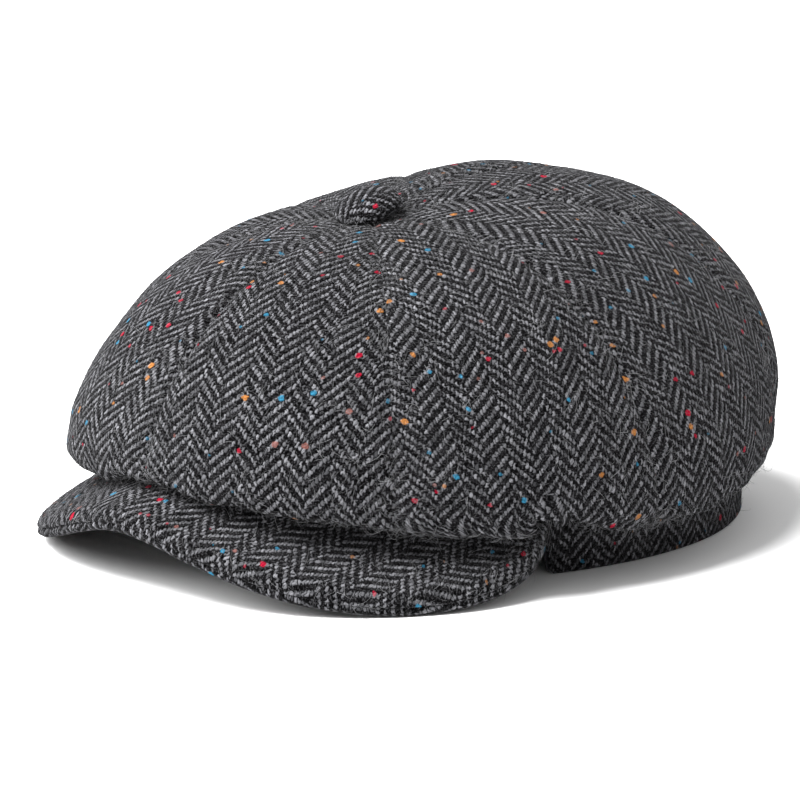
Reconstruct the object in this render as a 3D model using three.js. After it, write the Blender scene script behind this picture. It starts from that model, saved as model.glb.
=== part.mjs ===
// Eight-panel newsboy cap. Millimetres, +Z up, the peak faces -Y, the wearer's left is +X.
import * as THREE from 'three';

// ---- Driving dimensions ----
const HALF_TURN = Math.PI;
const BAND_HALF_WIDTH = 88.5;
const BAND_HALF_LENGTH = 104.5;
const BAND_HEIGHT = 24;

// Height of the middle of the peak: arched from side to side, drooping to the front.
const PEAK_RISE = 42.3;
const PEAK_ARCH = 45.5;
const PEAK_ARCH_POWER = 1.08;
const PEAK_ARCH_HALF_WIDTH = 90;
const PEAK_CREST_HALF_WIDTH = 20;
const PEAK_DROOP = 0.365;
const PEAK_DROOP_HALF_WIDTH = 260;
const PEAK_DEPTH = 57;
const PEAK_HALF_ANGLE = 64;
const PEAK_ROUNDNESS = 2.3;
const PEAK_SPREAD = 1.1;
const PEAK_HALF_THICKNESS = 3.6;
const PEAK_END_DEPTH = 7;

// The crown: button, widest line, and how full each cloth panel stands between its seams.
const BUTTON_Y = -44.2;
const BUTTON_Z = 108.7;
const BUTTON_TILT = 0.167;
const BUTTON_DIMPLE = 0.18;
const BUTTON_LEAN = 0.36;
const CROWN_CENTRE_Y = -20;
const CROWN_HALF_WIDTH = 112;
const CROWN_FRONT = 126.6;
const CROWN_BACK = 129.9;
const WIDEST_Z = { front: 38, side: 24.6, back: 66.1 };
const SHOULDER_DROP = { front: 21.7, side: 40.6, back: 22.6 };
const TOP_REACH = 0.64;
const TUCK_LOW_Z = { front: 33, side: 19, back: 35 };
const TUCK_REACH = 29.7;
const TUCK_CLEARANCE = 2.6;
const PEAK_BACK_Y = -38;
const WIDEST_AT = 0.72;
const PANEL_PUFF = 2;
const PANEL_TIP = 0.012;
const PANEL_COUNT = 8;
const PANEL_COLUMNS = 4;
const CORNER_STEP = 2 * HALF_TURN / PANEL_COUNT / PANEL_COLUMNS;

// Cloth and inner layers, each measured inward from the outer face.
const GAP = 0.35;
const TWEED = 1.6;
const LINING = 0.6;
const LINING_HEM_LIFT = 6;
const LINING_LEAVES = 0.45;
const LABEL = 0.5;
const LINING_INSET = TWEED + 2 * GAP;
const LABEL_INSET = LINING_INSET + LINING + 2 * GAP;
const BAND_TWEED = 2.2;
const TAPE_INSET = BAND_TWEED + GAP;
const TAPE = 0.7;
const SWEATBAND_INSET = TAPE_INSET + TAPE + GAP;
const SWEATBAND = 1.2;
const SWEATBAND_TOP = 4;
const TAG_INSET = SWEATBAND_INSET + SWEATBAND + GAP;
const PEAK_EDGE_INSET = TAPE_INSET + TAPE - GAP;
const RING_STEPS = 64;

const BUTTON_RADIUS = 11.5;
const BUTTON_HEIGHT = 6;
const BUTTON_SEAT = 3.4;
const LABEL_HALF_WIDTH = 22;

const TWEED_COLOUR = 0x55565a;
const LINING_COLOUR = 0x2b2d33;
const STEEL_COLOUR = 0x9a9c9f;
const BOARD_COLOUR = 0x24262a;
const FELT_COLOUR = 0x8d8a84;
const COTTON_COLOUR = 0x1f2125;
const TAPE_COLOUR = 0xd8d5cc;

const group = new THREE.Group();
group.name = 'newsboy_cap';

const radians = (degrees) => degrees * HALF_TURN / 180;
const vec = (x, y, z) => new THREE.Vector3(x, y, z);
const smooth = (x) => x * x * (3 - 2 * x);
const clamp = (x) => Math.min(Math.max(x, 0), 1);

/** Evenly spaced values from one number to another, both included. */
function spaced(from, to, steps) {
  return Array.from({ length: steps + 1 }, (_, i) => from + (to - from) * i / steps);
}

function addMesh(name, geometry, colour, roughness = 0.95, metalness = 0) {
  const material = new THREE.MeshStandardMaterial({ color: colour, roughness, metalness });
  material.name = name;
  const mesh = new THREE.Mesh(geometry, material);
  mesh.name = name;
  group.add(mesh);
}

/** A closed wall between two grids of points with the same rows and columns. */
function wallBetween(outer, inner, ring = false) {
  const rows = outer.length;
  const columns = outer[0].length;
  const points = [...outer.flat(), ...inner.flat()];
  const at = (side, row, column) => side * rows * columns + row * columns + column % columns;
  const index = [];
  const quad = (a, b, c, d) => index.push(a, b, c, a, c, d);
  const lastColumn = ring ? columns : columns - 1;
  for (let row = 0; row + 1 < rows; row += 1) {
    for (let column = 0; column < lastColumn; column += 1) {
      const next = column + 1;
      quad(at(0, row, column), at(0, row, next), at(0, row + 1, next), at(0, row + 1, column));
      quad(at(1, row, column), at(1, row + 1, column), at(1, row + 1, next), at(1, row, next));
    }
  }
  for (let column = 0; column < lastColumn; column += 1) {
    const next = column + 1;
    quad(at(0, 0, column), at(1, 0, column), at(1, 0, next), at(0, 0, next));
    quad(at(0, rows - 1, column), at(0, rows - 1, next), at(1, rows - 1, next), at(1, rows - 1, column));
  }
  if (!ring) {
    const last = columns - 1;
    for (let row = 0; row + 1 < rows; row += 1) {
      quad(at(0, row, 0), at(0, row + 1, 0), at(1, row + 1, 0), at(1, row, 0));
      quad(at(0, row, last), at(1, row, last), at(1, row + 1, last), at(0, row + 1, last));
    }
  }
  return facingOut(points, index);
}

/** The same triangles, turned over if they enclose a negative volume. */
function facingOut(points, index) {
  let volume = 0;
  for (let i = 0; i < index.length; i += 3) {
    const [a, b, c] = [points[index[i]], points[index[i + 1]], points[index[i + 2]]];
    volume += a.dot(b.clone().cross(c));
  }
  if (volume < 0) {
    index.reverse();
  }
  const geometry = new THREE.BufferGeometry();
  geometry.setAttribute('position', new THREE.Float32BufferAttribute(points.flatMap((p) => p.toArray()), 3));
  geometry.setIndex(index);
  geometry.computeVertexNormals();
  return geometry;
}

// ---- Band and peak shapes ----

/** Point on the band's ellipse, inset from its outer face. The angle is measured from the front. */
function bandPoint(angle, inset, z = 0) {
  return vec((BAND_HALF_WIDTH - inset) * Math.sin(angle), -(BAND_HALF_LENGTH - inset) * Math.cos(angle), z);
}

/** Height of the middle of the peak's thickness above the resting plane. */
function peakHeight(x, y) {
  const crest = PEAK_CREST_HALF_WIDTH;
  const fromCrest = (Math.hypot(x, crest) ** PEAK_ARCH_POWER) - crest ** PEAK_ARCH_POWER;
  const arch = PEAK_ARCH * fromCrest / PEAK_ARCH_HALF_WIDTH ** PEAK_ARCH_POWER;
  const droop = PEAK_DROOP * Math.max(0, 1 - (x / PEAK_DROOP_HALF_WIDTH) ** 2);
  return PEAK_RISE - arch - droop * (-y - BAND_HALF_LENGTH);
}

/** How much longer a vertical measure through the peak is than one square to it. */
function peakStretch(x, y) {
  const step = 0.5;
  const slopeX = (peakHeight(x + step, y) - peakHeight(x - step, y)) / (2 * step);
  const slopeY = (peakHeight(x, y + step) - peakHeight(x, y - step)) / (2 * step);
  return Math.hypot(1, slopeX, slopeY);
}

/** 1 where the band stands on the peak, easing to 0 behind the peak's ends. */
function overPeak(angle) {
  const turned = Math.atan2(Math.sin(angle), Math.cos(angle));
  return smooth(clamp((radians(PEAK_HALF_ANGLE + 19) - Math.abs(turned)) / radians(17)));
}

/** Height of the band's lower edge: on the peak at the front, on the resting plane behind it. */
function bandBottom(angle, inset, clear = PEAK_HALF_THICKNESS + 2 * GAP) {
  const point = bandPoint(angle, inset);
  const height = peakHeight(point.x, point.y) + clear * peakStretch(point.x, point.y);
  return Math.max(0, height) * overPeak(angle);
}

/** Height of the band's upper edge, straight between the places where crown panels have corners. */
function bandTop(angle) {
  const topAt = (corner) => {
    const point = bandPoint(corner * CORNER_STEP, 0);
    return Math.max(0, peakHeight(point.x, point.y)) * overPeak(corner * CORNER_STEP) + BAND_HEIGHT;
  };
  const corner = Math.floor(angle / CORNER_STEP);
  const along = angle / CORNER_STEP - corner;
  return topAt(corner) * (1 - along) + topAt(corner + 1) * along;
}

/** Width of the peak from its seam to its rim, at a place from -1 to 1 along it. */
function peakDepth(place) {
  const full = Math.max(0, 1 - Math.abs(place) ** PEAK_ROUNDNESS) ** (1 / PEAK_ROUNDNESS);
  return PEAK_END_DEPTH + (PEAK_DEPTH - PEAK_END_DEPTH) * full;
}

/** Point of the peak at a distance out from its seam and a height off its middle. */
function peakPoint(place, distance, lift) {
  const angle = place * radians(PEAK_HALF_ANGLE);
  const outward = vec(PEAK_SPREAD * Math.sin(angle), -Math.cos(angle), 0).normalize();
  const point = bandPoint(angle, PEAK_EDGE_INSET).addScaledVector(outward, distance);
  point.z = peakHeight(point.x, point.y) + lift * peakStretch(point.x, point.y);
  return point;
}

/** Places along the peak from one end to the other, closer together where its outline turns in. */
function peakPlaces(end) {
  return spaced(-1, 1, 24).map((s) => end * Math.sin(s * HALF_TURN / 2));
}

/** A flat layer of the peak between two lifts, kept back from the seam and the rim. */
function peakLayer(lower, upper, edge) {
  const side = (lift) => peakPlaces(0.97).map((place) => {
    return spaced(edge, peakDepth(place) - edge, 4).map((distance) => peakPoint(place, distance, lift));
  });
  return wallBetween(side(upper), side(lower));
}

/** One cloth cover of the peak: flat to the rim, then rolled round it to the rim seam. */
function peakCover(sign) {
  const side = (radius) => peakPlaces(1).map((place) => {
    const flat = peakDepth(place) - PEAK_HALF_THICKNESS;
    const top = spaced(0, flat, 4).slice(0, -1).map((distance) => peakPoint(place, distance, sign * radius));
    const roll = spaced(0, radians(86), 4).map((turn) => {
      return peakPoint(place, flat + radius * Math.sin(turn), sign * radius * Math.cos(turn));
    });
    return [...top, ...roll];
  });
  return wallBetween(side(PEAK_HALF_THICKNESS), side(PEAK_HALF_THICKNESS - TWEED));
}

/** A band of one thickness running right round the head opening. */
function bandRing(inset, thickness, topAt, bottomAt) {
  const side = (depth) => [topAt, bottomAt].map((height) => Array.from({ length: RING_STEPS }, (_, i) => {
    const angle = (i / RING_STEPS) * 2 * HALF_TURN - HALF_TURN;
    return bandPoint(angle, depth, height(angle, depth));
  }));
  return wallBetween(side(inset), side(inset + thickness), true);
}

// ---- Crown shape ----

function cubic(a, b, c, d, t) {
  const s = 1 - t;
  return a.clone().multiplyScalar(s ** 3)
    .addScaledVector(b, 3 * s * s * t)
    .addScaledVector(c, 3 * s * t * t)
    .addScaledVector(d, t ** 3);
}

/** Mixes a front, side and back value for the given angle from the front. */
function around(angle, values) {
  const front = Math.max(Math.cos(angle), 0) ** 2;
  const back = Math.max(-Math.cos(angle), 0) ** 2;
  return values.front * front + values.back * back + values.side * (1 - front - back);
}

/** Height of the tuck's two handles: low enough for a full fold, but never into the peak under it. */
function tuckHandleZ(angle, widest, fourth, seam) {
  const free = (around(angle, TUCK_LOW_Z) - (widest.z + seam.z) / 8) / 0.75;
  const needed = spaced(0.15, 0.85, 7).map((t) => {
    const point = cubic(widest, widest, fourth, seam, t);
    const top = peakHeight(point.x, point.y) + PEAK_HALF_THICKNESS + TUCK_CLEARANCE;
    const ends = widest.z * (1 - t) ** 3 + seam.z * t ** 3;
    const handle = (top - ends) / (3 * t * (1 - t));
    return free + (handle - free) * smooth(clamp((PEAK_BACK_Y - point.y) / 10));
  });
  return Math.max(free, ...needed);
}

/** Smooth crown surface: down is 0 at the button, WIDEST_AT at the widest line, 1 at the band. */
function crownBase(angle, down) {
  const button = vec(0, BUTTON_Y, BUTTON_Z);
  const reach = Math.cos(angle) > 0 ? CROWN_FRONT : CROWN_BACK;
  const widest = vec(CROWN_HALF_WIDTH * Math.sin(angle), CROWN_CENTRE_Y - reach * Math.cos(angle), 0);
  widest.z = around(angle, WIDEST_Z);
  if (down <= WIDEST_AT) {
    const outward = vec(widest.x, widest.y - BUTTON_Y, 0);
    const length = outward.length();
    outward.normalize();
    outward.z = BUTTON_DIMPLE - BUTTON_TILT * Math.cos(angle);
    const first = button.clone().addScaledVector(outward, TOP_REACH * length);
    const second = widest.clone().setZ(widest.z + around(angle, SHOULDER_DROP));
    return cubic(button, first, second, widest, down / WIDEST_AT);
  }
  const seam = bandPoint(angle, -GAP, bandTop(angle) + GAP);
  const away = vec(widest.x - seam.x, widest.y - seam.y, 0).normalize();
  const overhang = Math.hypot(widest.x - seam.x, widest.y - seam.y);
  const fourth = seam.clone().addScaledVector(away, Math.min(TUCK_REACH, 0.8 * overhang + 3));
  const handleZ = tuckHandleZ(angle, widest, fourth, seam);
  const third = widest.clone().setZ(handleZ);
  fourth.setZ(handleZ);
  return cubic(widest, third, fourth, seam, (down - WIDEST_AT) / (1 - WIDEST_AT));
}

function crownNormal(surface, angle, down) {
  const step = 0.004;
  const across = surface(angle + step, down).sub(surface(angle - step, down));
  const along = surface(angle, Math.min(down + step, 1)).sub(surface(angle, Math.max(down - step, 0)));
  return along.cross(across).normalize();
}

/** Crown surface with each panel standing full between its seams. */
function crownSurface(angle, down) {
  const panel = 2 * HALF_TURN / PANEL_COUNT;
  const seam = Math.round(angle / panel) * panel;
  const fromSeam = Math.min(Math.abs(angle - seam) / (panel / 2), 1);
  const fullness = PANEL_PUFF * smooth(clamp(down / 0.2)) * smooth(clamp((0.92 - down) / 0.3));
  const puff = fullness * (1 - (1 - fromSeam) ** 2 - 0.5);
  return crownBase(angle, down).addScaledVector(crownNormal(crownBase, angle, down), puff);
}

function crownOffset(angle, down, inset) {
  return crownSurface(angle, down).addScaledVector(crownNormal(crownSurface, angle, down), -inset);
}

/** Distance round the crown for each radian of angle. */
function crownSpread(angle, down) {
  return crownBase(angle + 0.01, down).distanceTo(crownBase(angle - 0.01, down)) / 0.02;
}

/** The lining's outer side: on the crown down to where it leaves it, then straight to the top of the band. */
function liningSurface(angle, down) {
  if (down <= WIDEST_AT) {
    return crownOffset(angle, down * LINING_LEAVES / WIDEST_AT, LINING_INSET);
  }
  const start = crownOffset(angle, LINING_LEAVES, LINING_INSET);
  const end = bandPoint(angle, BAND_TWEED / 2, bandTop(angle) + LINING_HEM_LIFT);
  return start.lerp(end, (down - WIDEST_AT) / (1 - WIDEST_AT));
}

function liningOffset(angle, down, inset) {
  return liningSurface(angle, down).addScaledVector(crownNormal(liningSurface, angle, down), LINING_INSET - inset);
}

/** A cloth piece on the given surface between two angles, with a small gap at each seam. */
function crownPiece(surface, from, to, downs, inset, thickness) {
  const side = (depth) => downs.map((down) => {
    const trim = GAP / 2 / Math.max(crownSpread((from + to) / 2, down), 1);
    const angles = spaced(from + trim, to - trim, PANEL_COLUMNS);
    return angles.map((angle) => surface(angle, down, depth));
  });
  return wallBetween(side(inset), side(inset + thickness));
}

// ---- Crown panels and their linings ----
const PANEL_NAMES = [
  'front_left', 'side_front_left', 'side_back_left', 'back_left',
  'back_right', 'side_back_right', 'side_front_right', 'front_right',
];
const topRows = [PANEL_TIP, ...spaced(0.06, WIDEST_AT, 8)];
const crownRows = [...topRows, ...spaced(WIDEST_AT, 1, 8).slice(1)];
const liningRows = [...topRows, 0.8, 0.87, 0.94, 1];
PANEL_NAMES.forEach((panel, i) => {
  const from = i * 2 * HALF_TURN / PANEL_COUNT;
  const to = from + 2 * HALF_TURN / PANEL_COUNT;
  const outside = crownPiece(crownOffset, from, to, crownRows, 0, TWEED);
  const inside = crownPiece(liningOffset, from, to, liningRows, LINING_INSET, LINING);
  addMesh(`crown_${panel}`, outside, TWEED_COLOUR);
  addMesh(`lining_${panel}`, inside, LINING_COLOUR);
});
const labelRows = topRows.slice(3, 6);
const labelSide = (inset) => labelRows.map((down) => {
  const halfAngle = LABEL_HALF_WIDTH / crownSpread(HALF_TURN, down);
  return [-1, 0, 1].map((side) => crownOffset(HALF_TURN + side * halfAngle, down, inset));
});
addMesh('maker_label', wallBetween(labelSide(LABEL_INSET), labelSide(LABEL_INSET + LABEL)), TAPE_COLOUR);

// ---- Band, its stay tape, the sweatband and the size tag ----
addMesh('outer_band', bandRing(0, BAND_TWEED, bandTop, bandBottom), TWEED_COLOUR);
addMesh('stay_tape', bandRing(TAPE_INSET, TAPE, bandTop, bandBottom), TAPE_COLOUR);
const sweatbandBottom = (angle, inset) => Math.max(0.3, bandBottom(angle, inset, -PEAK_HALF_THICKNESS));
const sweatbandTop = (angle) => bandTop(angle) + SWEATBAND_TOP;
addMesh('sweatband', bandRing(SWEATBAND_INSET, SWEATBAND, sweatbandTop, sweatbandBottom), COTTON_COLOUR);
const tagSide = (inset) => [22, 5].map((z) => Array.from({ length: 5 }, (_, i) => {
  return bandPoint(HALF_TURN + radians(8) * (i / 2 - 1), inset, z);
}));
addMesh('size_tag', wallBetween(tagSide(TAG_INSET), tagSide(TAG_INSET + LABEL)), TAPE_COLOUR);

// ---- Peak ----
addMesh('peak_top_cover', peakCover(1), TWEED_COLOUR);
addMesh('peak_under_cover', peakCover(-1), TWEED_COLOUR);
addMesh('peak_felt', peakLayer(0.35, 1.05, 3.4), FELT_COLOUR);
addMesh('peak_board', peakLayer(-1.05, 0, 3.4), BOARD_COLOUR, 0.6);

// ---- Button ----

/** A turned piece standing square to the crown at the button, from radius and height pairs. */
function turned(profile, steps) {
  const geometry = new THREE.LatheGeometry(profile.map(([r, h]) => new THREE.Vector2(r, h)), steps);
  const up = vec(0, -BUTTON_LEAN, 1).normalize();
  geometry.applyQuaternion(new THREE.Quaternion().setFromUnitVectors(vec(0, 1, 0), up));
  geometry.translate(0, BUTTON_Y, BUTTON_Z);
  const points = [];
  const position = geometry.getAttribute('position');
  for (let i = 0; i < position.count; i += 1) {
    points.push(vec(0, 0, 0).fromBufferAttribute(position, i));
  }
  return facingOut(points, Array.from(geometry.index.array));
}

/** Half of a domed outline from the axis to the rim, at the given radius and height. */
function dome(radius, height, base, steps) {
  return Array.from({ length: steps + 1 }, (_, i) => {
    const turn = HALF_TURN / 2 * i / steps;
    return [i === 0 ? 0 : radius * Math.sin(turn), base + height * Math.cos(turn)];
  });
}

const coverInner = dome(BUTTON_RADIUS - 1.4, BUTTON_HEIGHT - 1.4, BUTTON_SEAT + 1.4, 6).reverse();
const coverOuter = dome(BUTTON_RADIUS, BUTTON_HEIGHT, BUTTON_SEAT + 1.2, 7);
const coverHem = [
  [BUTTON_RADIUS - 0.4, BUTTON_SEAT + 0.3], [BUTTON_RADIUS - 1.6, BUTTON_SEAT], [7.6, BUTTON_SEAT],
  [7.6, BUTTON_SEAT + 0.8], [BUTTON_RADIUS - 1.7, BUTTON_SEAT + 0.8],
];
addMesh('button_cover', turned([...coverOuter, ...coverHem, ...coverInner], 24), TWEED_COLOUR);
const shellRadius = BUTTON_RADIUS - 1.8;
const shellOuter = dome(shellRadius, BUTTON_HEIGHT - 1.8, BUTTON_SEAT + 1.4, 5);
const shellInner = dome(shellRadius - 0.6, BUTTON_HEIGHT - 2.4, BUTTON_SEAT + 1.4, 5).reverse();
addMesh('button_shell', turned([...shellOuter, ...shellInner], 20), STEEL_COLOUR, 0.35, 0.9);
const plateTop = BUTTON_SEAT + 2.2;
addMesh('button_back', turned([
  [0, plateTop], [6, plateTop], [7.1, plateTop - 0.7], [7.1, plateTop - 1.3], [5, plateTop - 1.3],
  [3.2, BUTTON_SEAT - 1], [2.4, BUTTON_SEAT - 1.6], [0, BUTTON_SEAT - 1.6],
], 20), STEEL_COLOUR, 0.35, 0.9);
addMesh('button_thread', turned([
  [0, BUTTON_SEAT - 1.9], [1.6, BUTTON_SEAT - 1.9], [1.5, -4.6], [4.2, -5], [4.4, -5.8], [3, -6.6], [0, -6.8],
], 16), COTTON_COLOUR);

// ---- Origin at the bottom centre of the whole cap ----
const box = new THREE.Box3().setFromObject(group);
const centre = box.getCenter(vec(0, 0, 0));
group.children.forEach((mesh) => mesh.geometry.translate(-centre.x, -centre.y, -box.min.z));

export default group;
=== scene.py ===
"""Looks for the eight-panel newsboy cap: tweed crown, band, peak and button, and the lined inside.

Metres, +Z up, the peak faces -Y, the wearer's left is +X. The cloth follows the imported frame's own sizes.
"""
import math

import bpy
import numpy as np
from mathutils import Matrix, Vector


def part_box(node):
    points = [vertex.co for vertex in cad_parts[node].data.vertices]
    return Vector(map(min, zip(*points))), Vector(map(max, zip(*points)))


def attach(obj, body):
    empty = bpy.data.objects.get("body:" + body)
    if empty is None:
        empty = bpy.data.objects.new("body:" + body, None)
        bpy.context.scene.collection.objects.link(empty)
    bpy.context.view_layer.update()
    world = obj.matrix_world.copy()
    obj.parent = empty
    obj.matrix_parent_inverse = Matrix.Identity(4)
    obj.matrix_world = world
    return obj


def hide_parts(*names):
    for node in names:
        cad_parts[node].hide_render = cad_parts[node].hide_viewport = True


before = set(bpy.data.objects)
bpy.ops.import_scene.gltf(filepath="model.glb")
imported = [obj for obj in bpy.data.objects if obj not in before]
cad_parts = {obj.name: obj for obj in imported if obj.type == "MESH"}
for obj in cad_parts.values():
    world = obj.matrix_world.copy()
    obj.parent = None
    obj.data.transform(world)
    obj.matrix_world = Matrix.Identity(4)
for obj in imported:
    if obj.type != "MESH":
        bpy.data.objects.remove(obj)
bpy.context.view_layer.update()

BAND_LOW, BAND_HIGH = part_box("outer_band")
BUTTON_LOW, BUTTON_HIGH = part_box("button_cover")

# ---- Driving dimensions, in metres ----
CENTRE_Y = (BAND_LOW.y + BAND_HIGH.y) / 2
BAND_HALF_WIDTH = (BAND_HIGH.x - BAND_LOW.x) / 2
BAND_HALF_LENGTH = (BAND_HIGH.y - BAND_LOW.y) / 2
BAND_HEIGHT = 0.024

PEAK_RISE = 0.0423
PEAK_ARCH = 0.0455
PEAK_ARCH_POWER = 1.08
PEAK_ARCH_HALF_WIDTH = 0.09
PEAK_CREST_HALF_WIDTH = 0.02
PEAK_DROOP = 0.365
PEAK_DROOP_HALF_WIDTH = 0.26
PEAK_DEPTH = 0.057
PEAK_HALF_ANGLE = math.radians(64)
PEAK_END_BLEND = math.radians(4)
PEAK_TOP_SEAM_TURN = math.radians(92)
PEAK_UNDER_SEAM_TURN = math.radians(88)
SLOPE_STEP = 0.0005
PEAK_ROUNDNESS = 2.3
PEAK_SPREAD = 1.1
PEAK_HALF_THICKNESS = 0.0036
PEAK_END_DEPTH = 0.007
PEAK_EDGE_INSET = 0.0029

BUTTON_Y = -0.0442
BUTTON_Z = 0.1087
BUTTON_TILT = 0.167
BUTTON_DIMPLE = 0.18
BUTTON_LEAN = 0.36
CROWN_CENTRE_Y = -0.020
CROWN_HALF_WIDTH = 0.112
CROWN_FRONT = 0.1266
CROWN_BACK = 0.1299
WIDEST_Z = (0.038, 0.0246, 0.0661)
SHOULDER_DROP = (0.0217, 0.0406, 0.0226)
TOP_REACH = 0.64
TUCK_LOW_Z = (0.033, 0.019, 0.035)
TUCK_REACH = 0.0297
TUCK_CLEARANCE = 0.0026
PEAK_BACK_Y = -0.038
WIDEST_AT = 0.72
PANEL_PUFF = 0.002
PANEL_TIP = 0.012
LINING_LEAVES = 0.45

# How finely the pieces are divided.
CROWN_COLUMNS = 97
WIDEST_ROW = 159
TUCK_ROWS = 66
LINING_COLUMNS = 33
LINING_ROWS = 60
LINING_HEM_ROWS = 24
BAND_COLUMNS = 560
SWEATBAND_COLUMNS = 420
TAPE_COLUMNS = 240

GAP = 0.00035
TWEED = 0.0016
LINING = 0.0006
LINING_INSET = TWEED + 2 * GAP
LINING_HEM_LIFT = 0.006
BAND_TWEED = 0.0022
TAPE = 0.0007
TAPE_RISE = 0.003
SWEATBAND = 0.0012
SWEATBAND_TOP = 0.004
SWEATBAND_INSET = BAND_TWEED + TAPE + 2 * GAP
BAND_TOP_RISE = 0.001
LABEL_CLOTH = 0.0005
TAG_CLOTH = 0.0004
PEAK_CLOTH = TWEED - 0.0002
OFF_FLOOR = 0.0003

# How the cloth lies: seams drawn in, seam allowances standing under it, soft dents and eased-in puckers.
SEAM_DEPTH = 0.0008
SEAM_HALF_WIDTH = 0.0012
SEAM_BLEND = 0.004
ALLOWANCE_RISE = 0.0003
ALLOWANCE_AT = 0.0055
ALLOWANCE_HALF_WIDTH = 0.003
DENT = 0.0014
DENT_SIZE = 0.05
RIPPLE = 0.0004
RIPPLE_SIZE = 0.016
PUCKER = 0.0011
PUCKER_SIZE = 0.011
SEAM_WAVE = 0.0002
SEAM_WAVE_SIZE = 0.009
SEAM_WAVE_REACH = 0.006
LINING_SEAM_DEPTH = 0.0006
LINING_SEAM_HALF_WIDTH = 0.0008
LINING_SLACK = 0.0005
LINING_SLACK_SIZE = 0.022
BAND_WAVE = 0.0004
SWEATBAND_WAVE = 0.0002
BAND_WAVE_SIZE = 0.03
RIM_SEAM_DEPTH = 0.0007
BUTTON_SEAT = 0.0034
BUTTON_RISE = 0.006
BUTTON_GRAIN = math.radians(20)
FIBRE_RADIUS = (0.00003, 0.00006)
FIBRE_ROOT_DEPTH = 0.0002

# The tweed: width of a lengthwise yarn, yarns in a herringbone column, and the coloured neps spun into it.
YARN = 0.00106
ENDS_PER_COLUMN = 8
NEP_LAYERS = ((0.012, 0.42), (0.0075, 0.12))
NEP_COLOURS = ((0.55, 0.012, 0.045), (0.05, 0.30, 0.50), (0.62, 0.25, 0.07), (0.36, 0.15, 0.13))
FELT_COLOURS = ((0.32, 0.30, 0.28), (0.62, 0.60, 0.57))
BOARD_COLOURS = ((0.05, 0.055, 0.07), (0.09, 0.095, 0.11))
STEEL_COLOURS = ((0.42, 0.42, 0.44), (0.66, 0.66, 0.67))
THREAD_COLOURS = ((0.02, 0.02, 0.024), (0.075, 0.075, 0.085))
FLOOR_COLOURS = ((0.88, 0.88, 0.88), (0.90, 0.90, 0.90))
FIBRE_BATCHES = {  # how many, their lengths, and how far they rise as a share of the length
    "lying_hairs_1": (6000, (0.002, 0.006), (0.02, 0.2)),
    "lying_hairs_2": (6000, (0.002, 0.006), (0.02, 0.2)),
    "standing_hairs": (5000, (0.003, 0.008), (0.15, 0.6)),
}

# Room, in metres and degrees. Suns: turned right of the camera, height, strength, softness.
FLOOR_SIZE = 12
FLOOR_Z = -0.0002
CAMERA_TURN = math.radians(46.1)
CAMERA_RISE = math.radians(12.3)
CAMERA_DISTANCE = 1.8
CAMERA_LEFT = 0.0222
CAMERA_UP = 0.0392
CAMERA_LENS = 234
SENSOR = 36
SUNS = {"key": (-70, 62, 7.8, 35), "left": (-88, 40, 5.0, 50)}
WORLD_STRENGTH = 0.8

PANELS = (
    "front_left", "side_front_left", "side_back_left", "back_left",
    "back_right", "side_back_right", "side_front_right", "front_right",
)
PANEL_TURN = 2 * math.pi / len(PANELS)


# ---- Small shape tools ----
def clamp(x):
    return np.clip(x, 0, 1)


def smooth(x):
    return x * x * (3 - 2 * x)


def stack(x, y, z):
    return np.stack(np.broadcast_arrays(x, y, z), axis=-1).astype(float)


def unit(v):
    return v / np.maximum(np.linalg.norm(v, axis=-1, keepdims=True), 1e-12)


def lattice(ix, iy, iz, seed):
    """A repeatable number from 0 to 1 for each lattice point."""
    mask = 0xFFFFFFFF
    h = (ix * 374761393 + iy * 668265263 + iz * 1442695041 + seed * 1274126177) & mask
    h = ((h ^ (h >> 13)) * 1274126177) & mask
    return ((h ^ (h >> 16)) & 0xFFFF) / 0xFFFF


def noise(points, size, seed):
    """Smooth noise from -1 to 1 over points, with features of about the given size."""
    p = points / size
    cell = np.floor(p).astype(np.int64)
    f = smooth(p - cell)
    total = np.zeros(p.shape[:-1])
    for corner in range(8):
        dx, dy, dz = corner & 1, corner >> 1 & 1, corner >> 2
        weight = (
            np.where(dx, f[..., 0], 1 - f[..., 0])
            * np.where(dy, f[..., 1], 1 - f[..., 1])
            * np.where(dz, f[..., 2], 1 - f[..., 2])
        )
        total += weight * lattice(cell[..., 0] + dx, cell[..., 1] + dy, cell[..., 2] + dz, seed)
    return 2 * total - 1


def run_length(points, axis):
    """Distance walked along a grid's axis, from its first row or column."""
    step = np.linalg.norm(np.diff(points, axis=axis), axis=-1)
    start = np.zeros_like(np.take(step, [0], axis=axis))
    return np.concatenate([start, np.cumsum(step, axis=axis)], axis=axis)


def grid_normal(points, outward, ring=False):
    """Unit normals of a grid, all on the side that the outward hint mostly points to."""
    if ring:
        wide = np.concatenate([points[:, -1:], points, points[:, :1]], axis=1)
        across = (wide[:, 2:] - wide[:, :-2]) / 2
    else:
        across = np.gradient(points, axis=1)
    normal = unit(np.cross(np.gradient(points, axis=0), across))
    return normal if (normal * outward).sum() > 0 else -normal


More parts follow.
